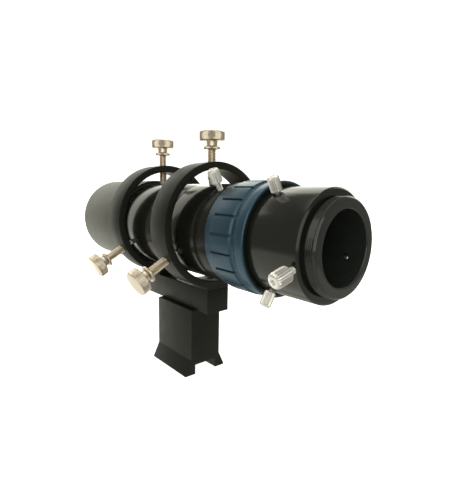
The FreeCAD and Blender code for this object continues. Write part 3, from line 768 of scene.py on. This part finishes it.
def make_stage():
    """A round white bowl: a flat floor that curves up into a wall. Only the camera and glass see it."""
    floor, radius, height, steps = 1.3, 0.5, 2.2, 16
    rows = [(0.0, 0.0), (0.0, floor)]
    rows += [(radius - radius * math.cos(turn), floor + radius * math.sin(turn))
             for turn in (math.pi / 2 * step / steps for step in range(1, steps + 1))]
    rows.append((height, floor + radius))
    mesh = spin_mesh("studio_bowl", [(up / MM, out / MM) for up, out in rows], even_angles(96))
    mesh.flip_normals()
    mesh.polygons.foreach_set("use_smooth", [True] * len(mesh.polygons))
    paper = Finish("studio_paper", Roughness=0.9, Emission_Color=(1.0, 1.0, 1.0, 1.0),
                   Emission_Strength=1.0)
    paper.colour_between(paper.noise(60.0, 2.0), (0.90, 0.90, 0.90), (0.93, 0.93, 0.93))
    mesh.materials.append(paper.material)
    bowl = bpy.data.objects.new("studio_bowl", mesh)
    bowl.visible_glossy = False
    bowl.visible_diffuse = False
    bowl.visible_shadow = False
    bpy.context.scene.collection.objects.link(bowl)


CENTRE = Vector((0.0, 0.0, 0.08))
WARM_WHITE = (1.0, 0.99, 0.87)


def make_light(name, azimuth, elevation, distance, size, glow, centre=CENTRE):
    """A softbox round a point: azimuth in degrees from +Y towards +X, and its brightness as a surface."""
    turn, rise = math.radians(azimuth), math.radians(elevation)
    towards = Vector((math.sin(turn) * math.cos(rise), math.cos(turn) * math.cos(rise), math.sin(rise)))
    lamp = bpy.data.lights.new(name, "AREA")
    lamp.shape = "RECTANGLE"
    lamp.size, lamp.size_y = size
    lamp.energy = glow * math.pi * size[0] * size[1]
    lamp.color = WARM_WHITE
    holder = bpy.data.objects.new(name, lamp)
    holder.location = centre + towards * distance
    holder.rotation_mode = "QUATERNION"
    holder.rotation_quaternion = (-towards).to_track_quat("-Z", "Y")
    holder.visible_camera = False
    bpy.context.scene.collection.objects.link(holder)


def make_lights():
    """White walls ahead and to the right, a ceiling, a soft fill behind the viewer, light from below
    and a faint glow all round."""
    make_light("front_wall", 8.0, 11.0, 1.15, (1.35, 1.6), 1.3)
    make_light("right_wall", 64.0, 15.0, 1.15, (1.35, 1.75), 1.6)
    make_light("ceiling", 0.0, 88.0, 1.0, (0.9, 0.9), 1.3)
    make_light("viewer_fill", -138.0, 22.0, 1.0, (1.1, 1.0), 1.15)
    make_light("floor_glow", 0.0, -90.0, 0.11, (0.9, 0.9), 0.25)
    left_of_scope = Vector((-0.16, 0.09, 0.08))
    make_light("floor_bounce", 0.0, -90.0, 0.105, (0.36, 0.36), 0.42, centre=left_of_scope)
    left_strength, right_strength = 0.30, 0.27
    world = bpy.data.worlds.new("studio_world")
    bpy.context.scene.world = world
    world.use_nodes = True
    tree = world.node_tree
    place = tree.nodes.new("ShaderNodeTexCoord")
    parts = tree.nodes.new("ShaderNodeSeparateXYZ")
    fade = tree.nodes.new("ShaderNodeMapRange")
    fade.inputs["From Min"].default_value = -0.8
    fade.inputs["From Max"].default_value = 0.6
    fade.inputs["To Min"].default_value = left_strength
    fade.inputs["To Max"].default_value = right_strength
    tree.links.new(place.outputs["Generated"], parts.inputs["Vector"])
    tree.links.new(parts.outputs["X"], fade.inputs["Value"])
    tree.links.new(fade.outputs["Result"], tree.nodes["Background"].inputs["Strength"])
    tree.nodes["Background"].inputs["Color"].default_value = (*WARM_WHITE, 1)
    bpy.context.scene.view_settings.view_transform = "Standard"


def make_camera():
    """The viewpoint: behind the scope, to its left and a little above."""
    place = Vector((-131.9, -189.8, 109.0)) * MM
    yaw, pitch, roll = math.radians(40.53), math.radians(-9.0), math.radians(1.03)
    view_width = math.radians(62.5)
    lens = bpy.data.cameras.new("camera")
    lens.sensor_width = 36.0
    lens.sensor_fit = "HORIZONTAL"
    lens.lens = lens.sensor_width / 2 / math.tan(view_width / 2)
    lens.clip_start, lens.clip_end = 0.005, 20.0
    forward = Vector((math.sin(yaw) * math.cos(pitch), math.cos(yaw) * math.cos(pitch), math.sin(pitch)))
    across = forward.cross(Vector((0, 0, 1))).normalized()
    upright = across.cross(forward)
    right = across * math.cos(roll) + upright * math.sin(roll)
    top = -across * math.sin(roll) + upright * math.cos(roll)
    turn = Matrix((right, top, -forward)).transposed().to_4x4()
    holder = bpy.data.objects.new("camera", lens)
    holder.matrix_world = Matrix.Translation(place) @ turn
    bpy.context.scene.collection.objects.link(holder)
    bpy.context.scene.camera = holder


make_stage()
make_lights()
make_camera()
